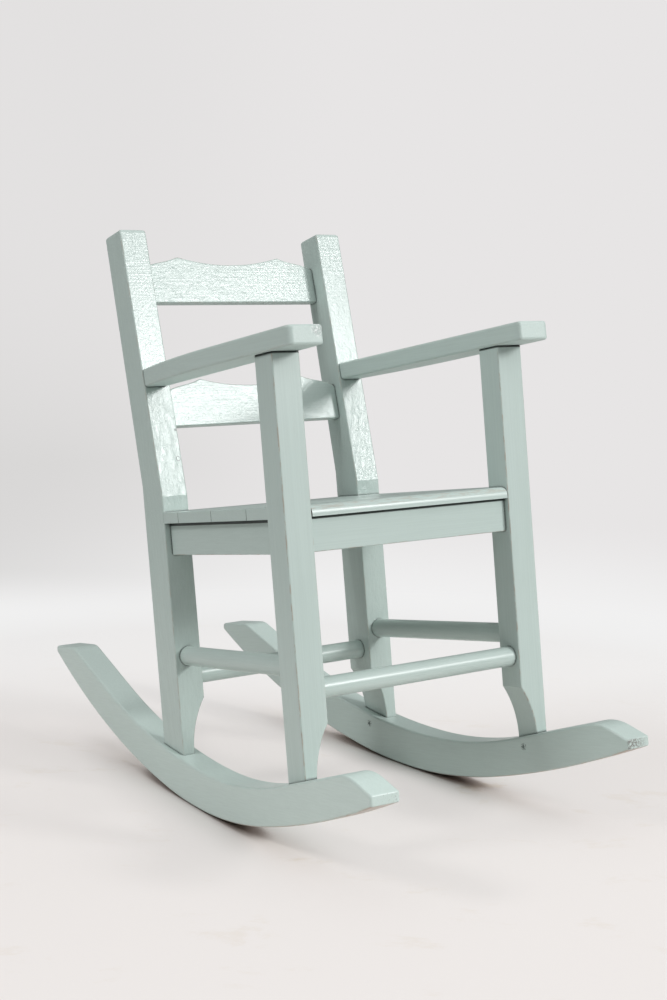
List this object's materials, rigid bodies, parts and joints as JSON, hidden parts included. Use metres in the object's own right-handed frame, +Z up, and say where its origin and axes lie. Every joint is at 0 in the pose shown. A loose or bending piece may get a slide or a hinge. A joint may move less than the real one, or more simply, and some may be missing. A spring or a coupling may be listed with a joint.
{
  "type": "slat-back child's rocking armchair",
  "caption": "Small painted wooden rocking armchair with scalloped back slats, a boarded seat, flat arms, round stretchers and long curved rockers.",
  "frame": {"origin": "centre of the chair's bounding box, on the floor under the rockers", "axes": "+Z up; -Y is the front, the way a sitter faces; +X is the sitter's left; the chair is drawn at rest, leaned back on its rockers"},
  "size_m": [0.3288, 0.6448, 0.5593],
  "materials": {
    "painted_wood": "semi-gloss brushed paint, duck-egg green",
    "steel": "plain steel"
  },
  "bodies": {
    "root": {"left_rocker": "painted_wood", "left_front_leg": "painted_wood", "left_rear_post": "painted_wood", "left_arm": "painted_wood", "left_stretcher": "painted_wood", "left_seat_rail": "painted_wood", "right_rocker": "painted_wood", "right_front_leg": "painted_wood", "right_rear_post": "painted_wood", "right_arm": "painted_wood", "right_stretcher": "painted_wood", "right_seat_rail": "painted_wood", "front_seat_rail": "painted_wood", "rear_seat_rail": "painted_wood", "front_stretcher": "painted_wood", "rear_stretcher": "painted_wood", "upper_back_slat": "painted_wood", "lower_back_slat": "painted_wood", "seat_board_1": "painted_wood", "seat_board_2": "painted_wood", "seat_board_3": "painted_wood", "seat_board_4": "painted_wood", "rocker_screws": "steel", "arm_screws": "steel", "seat_nails": "steel"}
  },
  "joints": []
}
